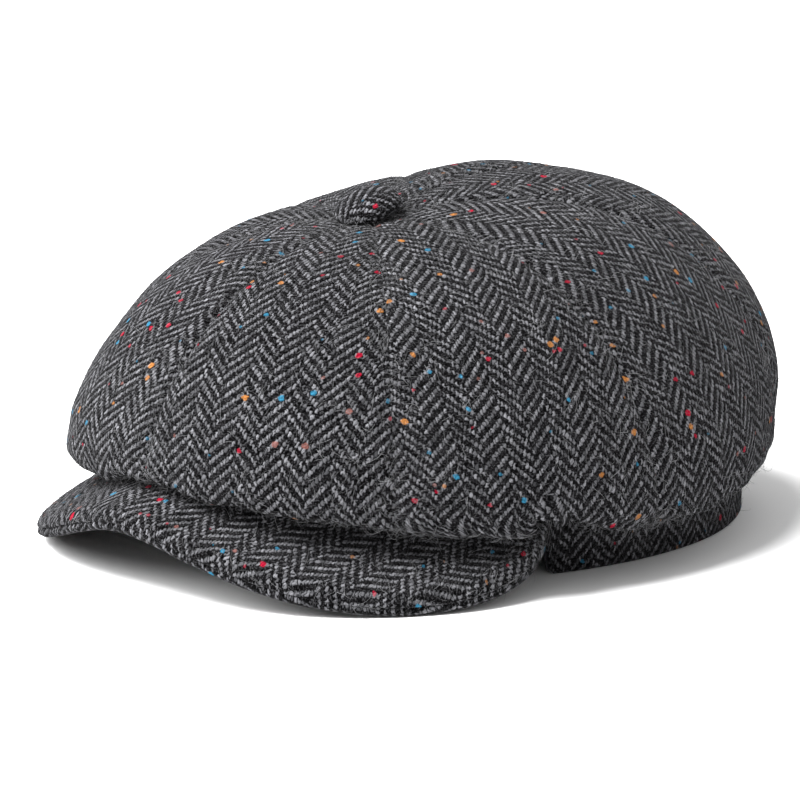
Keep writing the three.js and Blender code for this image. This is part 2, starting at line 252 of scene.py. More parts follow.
def thick_wall(name, outer, inner, cloth, ring=False):
    """One closed mesh between two grids of points. cloth gives each point's place on the flat cloth."""
    rows, columns = outer.shape[:2]
    points = np.concatenate([outer.reshape(-1, 3), inner.reshape(-1, 3)])
    points[:, 1] += CENTRE_Y
    size = rows * columns
    last = columns if ring else columns - 1
    row, column = np.meshgrid(np.arange(rows - 1), np.arange(last), indexing="ij")
    here = (row * columns + column).ravel()
    beside = (row * columns + (column + 1) % columns).ravel()
    quads = [
        np.stack([here, beside, beside + columns, here + columns], -1),
        np.stack([here, here + columns, beside + columns, beside], -1) + size,
    ]
    edge = np.arange(last)
    after = (edge + 1) % columns
    low = (rows - 1) * columns
    quads.append(np.stack([edge, edge + size, after + size, after], -1))
    quads.append(np.stack([low + edge, low + after, low + after + size, low + edge + size], -1))
    if not ring:
        side = np.arange(rows - 1) * columns
        far = side + columns - 1
        quads.append(np.stack([side, side + columns, side + columns + size, side + size], -1))
        quads.append(np.stack([far, far + size, far + columns + size, far + columns], -1))
    faces = np.concatenate(quads)
    a, b, c = (points[faces[:, i]] for i in range(3))
    if (a * np.cross(b, c)).sum() + (a * np.cross(c, points[faces[:, 3]])).sum() < 0:
        faces = faces[:, ::-1]
    return add_mesh(name, points, faces, np.concatenate([cloth.reshape(-1, 3)] * 2))


def add_mesh(name, points, faces, cloth=None):
    mesh = bpy.data.meshes.new(name)
    sides = faces.shape[1]
    mesh.vertices.add(len(points))
    mesh.vertices.foreach_set("co", points.astype(np.float32).ravel())
    mesh.loops.add(faces.size)
    mesh.loops.foreach_set("vertex_index", faces.astype(np.int32).ravel())
    mesh.polygons.add(len(faces))
    mesh.polygons.foreach_set("loop_start", np.arange(0, faces.size, sides, dtype=np.int32))
    mesh.polygons.foreach_set("use_smooth", np.ones(len(faces), dtype=bool))
    mesh.update(calc_edges=True)
    if cloth is not None:
        attribute = mesh.attributes.new("cloth", "FLOAT_VECTOR", "POINT")
        attribute.data.foreach_set("vector", cloth.astype(np.float32).ravel())
    piece = bpy.data.objects.new(name, mesh)
    bpy.context.scene.collection.objects.link(piece)
    return piece


def finish_piece(piece, material, slot, *nodes):
    piece.data.materials.append(material)
    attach(piece, "root")
    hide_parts(*nodes)
    return piece


def crowded(low, high, count, crowding):
    """Values from low to high, closer together at both ends."""
    s = np.linspace(0, 1, count)
    return low + (high - low) * (s - crowding * np.sin(2 * np.pi * s) / (2 * np.pi))


# ---- The cap's surfaces, with the band's centre at x = y = 0 ----
def band_point(angle, inset, z):
    return stack(
        (BAND_HALF_WIDTH - inset) * np.sin(angle), -(BAND_HALF_LENGTH - inset) * np.cos(angle), z
    )


def peak_height(x, y):
    crest = PEAK_CREST_HALF_WIDTH ** PEAK_ARCH_POWER
    from_crest = np.hypot(x, PEAK_CREST_HALF_WIDTH) ** PEAK_ARCH_POWER - crest
    arch = PEAK_ARCH * from_crest / PEAK_ARCH_HALF_WIDTH ** PEAK_ARCH_POWER
    droop = PEAK_DROOP * np.maximum(0, 1 - (x / PEAK_DROOP_HALF_WIDTH) ** 2)
    return PEAK_RISE - arch - droop * (-y - BAND_HALF_LENGTH)


def peak_slope_x(x, y):
    return (peak_height(x + SLOPE_STEP, y) - peak_height(x - SLOPE_STEP, y)) / (2 * SLOPE_STEP)


def peak_stretch(x, y):
    step = SLOPE_STEP
    slope_x = peak_slope_x(x, y)
    slope_y = (peak_height(x, y + step) - peak_height(x, y - step)) / (2 * step)
    return np.sqrt(1 + slope_x ** 2 + slope_y ** 2)


def over_peak(angle):
    turned = np.abs(np.arctan2(np.sin(angle), np.cos(angle)))
    return smooth(clamp((PEAK_HALF_ANGLE + PEAK_END_BLEND - turned) / PEAK_END_BLEND))


def band_bottom(angle, inset, clear=PEAK_HALF_THICKNESS + 2 * GAP):
    point = band_point(angle, inset, 0)
    x, y = point[..., 0], point[..., 1]
    return np.maximum(0, peak_height(x, y) + clear * peak_stretch(x, y)) * over_peak(angle)


def band_top(angle):
    point = band_point(angle, 0, 0)
    return np.maximum(0, peak_height(point[..., 0], point[..., 1])) * over_peak(angle) + BAND_HEIGHT


def around(angle, values):
    front = np.maximum(np.cos(angle), 0) ** 2
    back = np.maximum(-np.cos(angle), 0) ** 2
    return values[0] * front + values[2] * back + values[1] * (1 - front - back)


def cubic(a, b, c, d, t):
    s = 1 - t
    return a * s ** 3 + b * (3 * s * s * t) + c * (3 * s * t * t) + d * t ** 3


def tuck_handle_z(angle, widest, fourth, seam):
    """Low enough for a full fold, but never into the peak under it."""
    free = (around(angle, TUCK_LOW_Z) - (widest[..., 2] + seam[..., 2]) / 8) / 0.75
    highest = free
    for t in np.linspace(0.15, 0.85, 8):
        point = cubic(widest, widest, fourth, seam, t)
        top = peak_height(point[..., 0], point[..., 1]) + PEAK_HALF_THICKNESS + TUCK_CLEARANCE
        ends = widest[..., 2] * (1 - t) ** 3 + seam[..., 2] * t ** 3
        handle = (top - ends) / (3 * t * (1 - t))
        near = smooth(clamp((PEAK_BACK_Y - point[..., 1]) / 0.01))
        highest = np.maximum(highest, free + (handle - free) * near)
    return highest


def crown_base(angle, down):
    """Points for angles from the front and shares of the way down from the button, as broadcast arrays."""
    angle, down = np.broadcast_arrays(angle, down)
    t = down[..., None]
    sin, cos = np.sin(angle), np.cos(angle)
    reach = np.where(cos > 0, CROWN_FRONT, CROWN_BACK)
    widest = stack(CROWN_HALF_WIDTH * sin, CROWN_CENTRE_Y - reach * cos, around(angle, WIDEST_Z))
    button = np.array([0, BUTTON_Y, BUTTON_Z])
    level = widest - button
    level[..., 2] = 0
    length = np.linalg.norm(level, axis=-1, keepdims=True)
    outward = level / length
    outward[..., 2] = BUTTON_DIMPLE - BUTTON_TILT * cos
    second = widest.copy()
    second[..., 2] += around(angle, SHOULDER_DROP)
    upper = cubic(button, button + outward * TOP_REACH * length, second, widest, t / WIDEST_AT)
    seam = band_point(angle, -GAP, band_top(angle) + GAP)
    away = widest - seam
    away[..., 2] = 0
    overhang = np.linalg.norm(away, axis=-1, keepdims=True)
    fourth = seam + away / overhang * np.minimum(TUCK_REACH, 0.8 * overhang + 0.003)
    handle = tuck_handle_z(angle, widest, fourth, seam)
    third = widest.copy()
    third[..., 2] = handle
    fourth[..., 2] = handle
    lower = cubic(widest, third, fourth, seam, (t - WIDEST_AT) / (1 - WIDEST_AT))
    return np.where(t <= WIDEST_AT, upper, lower)


def crown_outward(points):
    return points - np.array([0, CROWN_CENTRE_Y, 0.03])


def crown_grid(angle, down):
    """Crown points and normals over a grid, each panel standing full between its seams."""
    points = crown_base(angle, down)
    seam = np.round(angle / PANEL_TURN) * PANEL_TURN
    from_seam = clamp(np.abs(angle - seam) / (PANEL_TURN / 2))
    fullness = PANEL_PUFF * smooth(clamp(down / 0.2)) * smooth(clamp((0.92 - down) / 0.3))
    puff = fullness * (1 - (1 - from_seam) ** 2 - 0.5)
    points = points + grid_normal(points, crown_outward(points)) * puff[..., None]
    return points, grid_normal(points, crown_outward(points))


def cloth_places(points, seed, level=0):
    """Flat-cloth places of a grid: across from its middle column, and along, straight above the level row."""
    middle = points.shape[1] // 2
    across = run_length(points, 1)
    across = across - across[:, middle:middle + 1]
    along = run_length(points, 0)
    straight = along[:, middle:middle + 1]
    if level:
        below = np.arange(len(points))[:, None] > level
        straight = np.where(below, along + straight[level] - along[level], straight)
    return stack(across, straight, seed)


def from_edges(points):
    """Distance along each row to the nearer side edge."""
    across = run_length(points, 1)
    return np.minimum(across, across[:, -1:] - across)


# ---- Crown panels and lining ----
def make_crown_panel(i, name, material):
    angle = crowded(i * PANEL_TURN, (i + 1) * PANEL_TURN, CROWN_COLUMNS, 0.6)[None, :]
    upper = np.linspace(PANEL_TIP, WIDEST_AT, WIDEST_ROW + 1)
    down = np.concatenate([upper, np.linspace(WIDEST_AT, 1, TUCK_ROWS)[1:]])[:, None]
    points, normal = crown_grid(angle, down)
    cloth = cloth_places(points, i + 1, WIDEST_ROW)
    level = grid_normal(crown_base(angle, down), crown_outward(points))
    edge = from_edges(points)
    near_top = smooth(clamp(down / 0.15))
    lift = DENT * noise(points, DENT_SIZE, 1) + RIPPLE * noise(points, RIPPLE_SIZE, 2)
    lift += ALLOWANCE_RISE * near_top * np.exp(-((edge - ALLOWANCE_AT) / ALLOWANCE_HALF_WIDTH) ** 2)
    lift += SEAM_WAVE * near_top * noise(points, SEAM_WAVE_SIZE, 3) * np.exp(-edge / SEAM_WAVE_REACH)
    eased = stack(angle * 0.1, 0.2 * down, 0 * edge)
    lift += PUCKER * smooth(clamp((down - 0.55) / 0.3)) * noise(eased, PUCKER_SIZE, 4)
    lift -= SEAM_DEPTH * smooth(clamp(down / 0.06)) * np.exp(-(edge / SEAM_HALF_WIDTH) ** 2)
    shared = np.exp(-(edge / SEAM_BLEND) ** 2)[..., None]
    normal = unit(normal * (1 - shared) + level * shared)
    outer = points + normal * lift[..., None]
    piece = thick_wall("crown_panel_" + name, outer, outer - normal * TWEED, cloth)
    finish_piece(piece, material, "tweed", "crown_" + name)
    declare_cloth(outer)
    return outer, normal


def declare_cloth(points, width=None):
    """Works out the width that a sewn cloth piece's outer face has when laid flat; nothing is declared or
    kept.
    """
    width = width or run_length(points, 1)[:, -1].max()


def make_lining_panel(i, name, material):
    angle = crowded(i * PANEL_TURN, (i + 1) * PANEL_TURN, LINING_COLUMNS, 0.3)[None, :]
    down = np.linspace(PANEL_TIP, LINING_LEAVES, LINING_ROWS)[:, None]
    points, normal = crown_grid(angle, down)
    points = points - normal * (LINING_INSET + DENT + RIPPLE)
    hem = band_point(angle, BAND_TWEED / 2, band_top(angle) + LINING_HEM_LIFT)
    t = np.linspace(0, 1, LINING_HEM_ROWS)[1:, None, None]
    points = np.concatenate([points, points[-1:] * (1 - t) + hem * t])
    normal = grid_normal(points, crown_outward(points))
    edge = from_edges(points)
    valley = LINING_SEAM_DEPTH * np.exp(-(edge / LINING_SEAM_HALF_WIDTH) ** 2)
    slack = valley + LINING_SLACK * (1 + noise(points, LINING_SLACK_SIZE, 7))
    points = points - normal * slack[..., None]
    cloth = cloth_places(points, 20 + i)
    piece = thick_wall("lining_panel_" + name, points, points - normal * LINING, cloth)
    declare_cloth(points)
    return finish_piece(piece, material, "lining", "lining_" + name)


# ---- Band, sweatband, tag and label ----
def make_ring(name, inset, thickness, top, bottom, columns, material, slot, *nodes, wave=0.0, seed=0):
    """A band round the head opening, its lower edge folded round."""
    angle = np.linspace(-math.pi, math.pi, columns, endpoint=False)[None, :]
    fold = thickness / 2
    turn = np.linspace(0, math.pi / 2, 6)[1:, None]
    share = np.linspace(0, 1, 26)[:, None]
    straight = top(angle) * (1 - share) + (bottom(angle) + fold) * share
    height = np.concatenate([straight, bottom(angle) + fold * (1 - np.sin(turn)) + 0 * angle])
    curl = np.concatenate([0 * share, fold * (1 - np.cos(turn))])
    middle = band_point(angle, inset + fold, height)
    ripple = wave * noise(middle, BAND_WAVE_SIZE, seed + 5)
    out = unit(stack(middle[..., 0] / BAND_HALF_WIDTH ** 2, middle[..., 1] / BAND_HALF_LENGTH ** 2, 0))
    outer = middle + out * (fold - curl + ripple)[..., None]
    inner = middle - out * (fold - curl - ripple)[..., None]
    loop = run_length(np.concatenate([outer[:1], outer[:1, :1]], 1), 1)[0]
    # A whole number of column pairs goes round, so that the pattern meets itself.
    columns_round = round(loop[-1] / (2 * ENDS_PER_COLUMN * YARN)) * 2 * ENDS_PER_COLUMN * YARN
    cloth = stack(loop[None, :-1] * columns_round / loop[-1], -height, 40 + seed)
    piece = thick_wall(name, outer, inner, cloth, ring=True)
    finish_piece(piece, material, slot, *nodes)
    declare_cloth(np.concatenate([outer, outer[:, :1]], axis=1), width=loop[-1])
    return outer, out


def make_band(material):
    def top(angle):
        return band_top(angle) + BAND_TOP_RISE

    def bottom(angle):
        return band_bottom(angle, 0)
    return make_ring("band", 0, BAND_TWEED, top, bottom, BAND_COLUMNS,
                     material, "tweed", "outer_band", wave=BAND_WAVE)


def make_sweatband(material):
    def bottom(angle):
        return np.maximum(OFF_FLOOR, band_bottom(angle, SWEATBAND_INSET, -PEAK_HALF_THICKNESS))
    return make_ring("sweatband_lining", SWEATBAND_INSET, SWEATBAND, lambda a: band_top(a) + SWEATBAND_TOP,
                     bottom, SWEATBAND_COLUMNS, material, "sweatband", "sweatband",
                     wave=SWEATBAND_WAVE, seed=3)


def make_tape(material):
    def bottom(angle):
        return band_bottom(angle, BAND_TWEED + GAP) + TAPE_RISE
    make_ring("stay_tape_ring", BAND_TWEED + GAP, TAPE, lambda a: band_top(a) - TAPE_RISE, bottom,
              TAPE_COLUMNS, material, "tape", "stay_tape", seed=6)


def make_stitches(material):
    """A running stitch round the sweatband, a little above its lower edge."""
    count, length, radius, sides = 150, 0.0024, 0.00028, 6
    angle = np.arange(count) / count * 2 * math.pi
    inset = SWEATBAND_INSET + SWEATBAND + 0.0001
    low = np.maximum(OFF_FLOOR, band_bottom(angle, SWEATBAND_INSET, -PEAK_HALF_THICKNESS)) + 0.004
    centre = band_point(angle, inset, low)
    step = 0.004
    ahead = unit(band_point(angle + step, inset, low) - centre)
    inward = unit(stack(-centre[:, 0], -centre[:, 1], 0))
    along = np.linspace(-1, 1, 7)
    spine = centre[:, None] + ahead[:, None] * (along * length / 2)[None, :, None]
    spine = spine + inward[:, None] * (radius * (1 - 2 * along ** 4))[None, :, None]
    width = radius * np.sqrt(np.maximum(1 - (along * 0.97) ** 6, 0.02))
    piece = make_tubes("sweatband_stitches", spine, np.broadcast_to(width, (count, 7)), sides)
    return finish_piece(piece, material, "thread")


def make_tubes(name, spines, radii, sides):
    """Closed tubes along many spines of the same number of points, all in one mesh."""
    count, rings = spines.shape[:2]
    along = unit(np.gradient(spines, axis=1))
    up = np.where(np.abs(along[..., 2:]) > 0.9, np.array([1.0, 0, 0]), np.array([0, 0, 1.0]))
    side = unit(np.cross(along, up))
    other = np.cross(along, side)
    turn = np.arange(sides) / sides * 2 * math.pi
    circle = (side[:, :, None] * np.cos(turn)[:, None] + other[:, :, None] * np.sin(turn)[:, None])
    wall = spines[:, :, None] + circle * radii[:, :, None, None]
    wall[..., 1] += CENTRE_Y
    base = (np.arange(count) * rings * sides)[:, None, None]
    ring = (np.arange(rings - 1) * sides)[None, :, None]
    here = base + ring + np.arange(sides)
    after = base + ring + (np.arange(sides) + 1) % sides
    tube = np.stack([here, after, here + sides, after, after + sides, here + sides], -1).reshape(-1, 3)
    fan = np.arange(1, sides - 1)
    first = (np.arange(count) * rings * sides)[:, None]
    last = first + (rings - 1) * sides
    start = np.stack(np.broadcast_arrays(first, first + fan + 1, first + fan), -1).reshape(-1, 3)
    end = np.stack(np.broadcast_arrays(last, last + fan, last + fan + 1), -1).reshape(-1, 3)
    return add_mesh(name, wall.reshape(-1, 3), np.concatenate([tube, start, end]))


def patch(name, points, normal, thickness, seed):
    return thick_wall(name, points, points - normal * thickness, cloth_places(points, seed))


def make_label(material):
    """A blank woven label sewn to the back of the lining."""
    low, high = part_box("maker_label")
    spread = np.linspace(-1, 1, 41)[None, :]
    down = np.linspace(0.30, 0.46, 33)[:, None]
    ahead = crown_base(math.pi + 0.01, down) - crown_base(math.pi - 0.01, down)
    half = (high.x - low.x) / 2 / (np.linalg.norm(ahead, axis=-1) / 0.02)
    points, normal = crown_grid(math.pi + spread * half, down)
    edge = from_edges(points)
    depth = LINING_INSET + DENT + RIPPLE + LINING + 0.0022 - 0.0006 * np.exp(-edge / 0.004)
    points = points - normal * depth[..., None]
    piece = patch("woven_label", points, normal, LABEL_CLOTH, 60)
    declare_cloth(points)
    return finish_piece(piece, material, "label", "maker_label")


def make_tag(material):
    """A small blank tag in the back of the sweatband."""
    low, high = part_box("size_tag")
    half = math.asin(high.x / (BAND_HALF_WIDTH - SWEATBAND_INSET))
    angle = math.pi + np.linspace(-half, half, 25)[None, :]
    height = np.linspace(high.z, low.z, 17)[:, None]
    curl = 0.0012 * (np.linspace(0, 1, 17)[:, None] ** 2)
    points = band_point(angle, SWEATBAND_INSET + SWEATBAND + 0.0003 + curl, height)
    normal = unit(stack(points[..., 0], points[..., 1], 0))
    piece = patch("tag", points, normal, TAG_CLOTH, 61)
    declare_cloth(points)
    return finish_piece(piece, material, "label", "size_tag")


# ---- Peak ----
def peak_rows(sign, seam_turn):
    """Outer points and cloth places of one peak cover, from the band, round the rim, to the rim seam."""
    place = np.sin(np.linspace(-1, 1, 280) * math.pi / 2)[:, None]
    full = np.maximum(0, 1 - np.abs(place) ** PEAK_ROUNDNESS) ** (1 / PEAK_ROUNDNESS)
    flat = PEAK_END_DEPTH + (PEAK_DEPTH - PEAK_END_DEPTH) * full - PEAK_HALF_THICKNESS
    share = np.linspace(0, 1, 60)[None, :-1]
    turn = np.linspace(0, 1, 26)[None, :] * seam_turn
    valley = RIM_SEAM_DEPTH * np.exp(-((seam_turn - turn) / 0.16) ** 2)
    radius = PEAK_HALF_THICKNESS - valley
    distance = np.concatenate([flat * share, flat + radius * np.sin(turn)], 1)
    lift = np.concatenate([PEAK_HALF_THICKNESS + 0 * flat * share, radius * np.cos(turn) + 0 * flat], 1)
    walked = np.concatenate([flat * share, flat + PEAK_HALF_THICKNESS * turn], 1)
    angle = place * PEAK_HALF_ANGLE
    outward = unit(stack(PEAK_SPREAD * np.sin(angle), -np.cos(angle), 0))
    start = band_point(angle, PEAK_EDGE_INSET, 0)
    points = start + outward * distance[..., None]
    x, y = points[..., 0], points[..., 1]
    points[..., 2] = peak_height(x, y) + sign * lift * peak_stretch(x, y)
    cut = start + outward * walked[..., None]
    slope = peak_slope_x(cut[..., 0], cut[..., 1])
    across = cut[..., 0] * np.sqrt(1 + slope ** 2)
    cloth = stack(across, -cut[..., 1] * math.hypot(1, PEAK_DROOP), 50 + sign)
    return points, cloth


def make_peak_cover(name, sign, seam_turn, material, node):
    points, cloth = peak_rows(sign, seam_turn)
    middle = points.copy()
    middle[..., 2] = peak_height(points[..., 0], points[..., 1])
    core = np.array([0.0, -0.11, 0.0]) + 0 * points
    hint = points - middle + 0.2 * PEAK_HALF_THICKNESS * unit(middle - core)
    normal = grid_normal(points, hint)
    lift = 0.0003 * noise(points, 0.02, 11) + 0.00015 * noise(points, 0.007, 12)
    outer = points + normal * lift[..., None]
    piece = thick_wall(name, outer, outer - normal * PEAK_CLOTH, cloth)
    finish_piece(piece, material, "tweed", node)
    declare_cloth(outer)
    return outer, normal


# ---- Button ----
def make_button(material):
    """A domed button covered in the cap's cloth, which is gathered in under its rim."""
    radius = (BUTTON_HIGH.x - BUTTON_LOW.x) / 2
    outline = [(math.sin(a), math.cos(a)) for a in np.linspace(0.0, math.pi / 2, 40)]
    height = BUTTON_RISE
    outer = [(radius * s, BUTTON_SEAT + 0.0012 + height * c) for s, c in outline]
    under = [(radius - 0.0004, BUTTON_SEAT + 0.0004), (radius - 0.0014, BUTTON_SEAT), (0.0076, BUTTON_SEAT)]
    inner = [(0.0076, BUTTON_SEAT + 0.0008), (radius - 0.0018, BUTTON_SEAT + 0.0010)]
    inner += [((radius - 0.0014) * s, BUTTON_SEAT + 0.0014 + (height - 0.0014) * c) for s, c in outline[::-1]]
    profile = np.array(outer + under + inner)
    profile[0, 0] = profile[-1, 0] = 1e-5
    steps = 120
    turn = np.arange(steps) / steps * 2 * math.pi
    r, h = profile[:, :1], profile[:, 1:]
    gather = smooth(clamp(r / radius * 4 - 3)) * 0.00022 * np.sin(17 * turn + 2 * np.sin(3 * turn))
    r = r + gather
    x, y = r * np.cos(turn), r * np.sin(turn)
    tilt = math.atan(BUTTON_LEAN)
    points = stack(x, BUTTON_Y + y * math.cos(tilt) - h * math.sin(tilt),
                   BUTTON_Z + y * math.sin(tilt) + h * math.cos(tilt))
    points[..., 1] += CENTRE_Y
    walked = run_length(np.stack([profile[:, 0], profile[:, 1]], -1)[:, None], 0)
    angle = BUTTON_GRAIN
    across = walked * np.cos(turn + angle)
    along = walked * np.sin(turn + angle)
    cloth = stack(across + 0.004, along + 0.002, 70)
    rows = len(profile)
    ring = (np.arange(rows - 1) * steps)[:, None]
    here, after = ring + np.arange(steps), ring + (np.arange(steps) + 1) % steps
    faces = np.stack([here, here + steps, after, after, here + steps, after + steps], -1).reshape(-1, 3)
    fan = np.arange(1, steps - 1)
    last = (rows - 1) * steps
    caps = [np.stack([0 * fan, fan, fan + 1], -1), np.stack([last + 0 * fan, last + fan + 1, last + fan], -1)]
    faces = np.concatenate([faces, *caps])
    piece = add_mesh("covered_button", points.reshape(-1, 3), faces, cloth.reshape(-1, 3))
    return finish_piece(piece, material, "tweed", "button_cover")


# ---- Loose wool fibres ----
def make_fibres(name, surfaces, material, seed):
    """Fine stray fibres that stand a little off the cloth, each rooted in it."""
    draw = np.random.RandomState(seed)
    count, lengths, rises = FIBRE_BATCHES[name]
    points = np.concatenate([p.reshape(-1, 3) for p, _ in surfaces])
    normals = np.concatenate([np.broadcast_to(n, p.shape).reshape(-1, 3) for p, n in surfaces])
    pick = draw.randint(0, len(points), count)
    root, up = points[pick], normals[pick]
    flat = unit(np.cross(up, draw.normal(size=(count, 3))))
    bend = unit(np.cross(up, flat)) * draw.normal(size=(count, 1)) * 0.5
    length = draw.uniform(*lengths, (count, 1))
    rise = draw.uniform(*rises, (count, 1)) * length
    t = np.linspace(0, 1, 6)[None, :, None]
    arch = np.sin(math.pi * t * draw.uniform(0.5, 1.0, (count, 1, 1)))
    spine = root[:, None] + flat[:, None] * (length[:, None] * t) + bend[:, None] * (length[:, None] * t ** 2)
    spine = spine + up[:, None] * (rise[:, None] * arch - FIBRE_ROOT_DEPTH)
    radius = draw.uniform(*FIBRE_RADIUS, (count, 1)) * (1 - 0.75 * np.linspace(0, 1, 6)[None, :] ** 2)
    above_floor = spine[..., 2].min(axis=1) > FIBRE_ROOT_DEPTH
    piece = make_tubes(name, spine[above_floor], radius[above_floor], 3)
    return finish_piece(piece, material, "tweed")


# ---- Materials ----
class Term:
    """A number in a material's nodes, so that sums are written as sums."""

    def __init__(self, look, socket):
        self.look = look
        self.socket = socket

    def __add__(self, other):
        return self.look.math("ADD", self, other)

    def __sub__(self, other):
        return self.look.math("SUBTRACT", self, other)

    def __rsub__(self, other):
        return self.look.math("SUBTRACT", other, self)

    def __mul__(self, other):
        return self.look.math("MULTIPLY", self, other)

    def __truediv__(self, other):
        return self.look.math("DIVIDE", self, other)

    def __pow__(self, other):
        return self.look.math("POWER", self, other)

    def __gt__(self, other):
        return self.look.math("GREATER_THAN", self, other)

    __radd__ = __add__
    __rmul__ = __mul__

    def floor(self):
        return self.look.math("FLOOR", self)

    def fraction(self):
        return self - self.floor()

    def modulo(self, period):
        return self.look.math("FLOORED_MODULO", self, period)

    def sine(self):
        return self.look.math("SINE", self)

    def over(self, low):
        return self.look.math("MAXIMUM", self, low)

    def under(self, high):
        return self.look.math("MINIMUM", self, high)

    def ramp(self, low, high):
        """0 below low, 1 above high, smooth between."""
        node = self.look.new("ShaderNodeMapRange", Value=self)
        node.interpolation_type = "SMOOTHSTEP"
        node.inputs["From Min"].default_value = low
        node.inputs["From Max"].default_value = high
        return Term(self.look, node.outputs["Result"])


class Look:
    """One procedural material, built by short calls."""

    def __init__(self, name, sheen=0.0, sheen_roughness=0.5, specular=0.3, metallic=0.0):
        self.material = bpy.data.materials.new(name)
        self.material.use_nodes = True
        self.tree = self.material.node_tree
        self.shader = self.tree.nodes["Principled BSDF"]
        self.shader.inputs["Sheen Weight"].default_value = sheen
        self.shader.inputs["Sheen Roughness"].default_value = sheen_roughness
        self.shader.inputs["Specular IOR Level"].default_value = specular
        self.shader.inputs["Metallic"].default_value = metallic

    def feed(self, socket, value):
        if isinstance(value, Term):
            value = value.socket
        if isinstance(value, bpy.types.NodeSocket):
            self.tree.links.new(value, socket)
        else:
            socket.default_value = value

    def new(self, kind, **values):
        node = self.tree.nodes.new(kind)
        for name, value in values.items():
            self.feed(node.inputs[name], value)
        return node

    def math(self, operation, *values):
        node = self.tree.nodes.new("ShaderNodeMath")
        node.operation = operation
        for socket, value in zip(node.inputs, values):
            self.feed(socket, value)
        return Term(self, node.outputs[0])

    def vector(self, x, y, z=0.0):
        return self.new("ShaderNodeCombineXYZ", X=x, Y=y, Z=z).outputs[0]

    def parts(self, vector):
        return [Term(self, socket) for socket in self.new("ShaderNodeSeparateXYZ", Vector=vector).outputs]

    def cloth_place(self):
        node = self.tree.nodes.new("ShaderNodeAttribute")
        node.attribute_name = "cloth"
        return self.parts(node.outputs["Vector"])

    def object_place(self):
        return self.parts(self.tree.nodes.new("ShaderNodeTexCoord").outputs["Object"])

    def noise(self, vector, scale=1.0, detail=2.0, roughness=0.5):
        node = self.new("ShaderNodeTexNoise", Vector=vector, Scale=scale, Detail=detail, Roughness=roughness)
        return Term(self, node.outputs[0])

    def random(self, x, y, z=0.0):
        node = self.new("ShaderNodeTexWhiteNoise", Vector=self.vector(x, y, z))
        return Term(self, node.outputs["Value"])

    def mix(self, share, first, second):
        """Colour from first to second by share. Either may be a socket or a plain (r, g, b)."""
        node = self.tree.nodes.new("ShaderNodeMix")
        node.data_type = "RGBA"
        colours = [c if isinstance(c, bpy.types.NodeSocket) else (*c, 1.0) for c in (first, second)]
        self.feed(node.inputs["Factor"], share)
        self.feed(node.inputs[6], colours[0])
        self.feed(node.inputs[7], colours[1])
        return node.outputs[2]

    def shade(self, colour, brightness):
        """A colour made darker or lighter by a number."""
        node = self.tree.nodes.new("ShaderNodeVectorMath")
        node.operation = "SCALE"
        self.feed(node.inputs[0], colour)
        self.feed(node.inputs["Scale"], brightness)
        return node.outputs[0]

    def done(self, colour, roughness, height=None, relief=0.0):
        self.feed(self.shader.inputs["Base Color"], colour)
        self.feed(self.shader.inputs["Roughness"], roughness)
        if height is not None:
            bump = self.new("ShaderNodeBump", Height=height, Distance=relief, Strength=1.0)
            self.feed(self.shader.inputs["Normal"], bump.outputs[0])
        return self.material

    def weave(self, u, v, period=4.0, sign=1.0, odd=0.0):
        """Heights of the lengthwise and the crosswise yarns, and which float of its yarn a point is on."""
        warp_turn = v + u.floor() * sign + odd - period / 2
        weft_turn = (v.floor() + u * sign + odd * 2.0).modulo(period)
        wave = 2 * math.pi / period
        warp = (warp_turn.modulo(period) * wave).sine().over(0.0) * (1.0 - (u.fraction() * 2.0 - 1.0) ** 2.0)
        weft = (weft_turn * wave).sine().over(0.0) * (1.0 - (v.fraction() * 2.0 - 1.0) ** 2.0)
        return warp, weft, (warp_turn / period).floor()


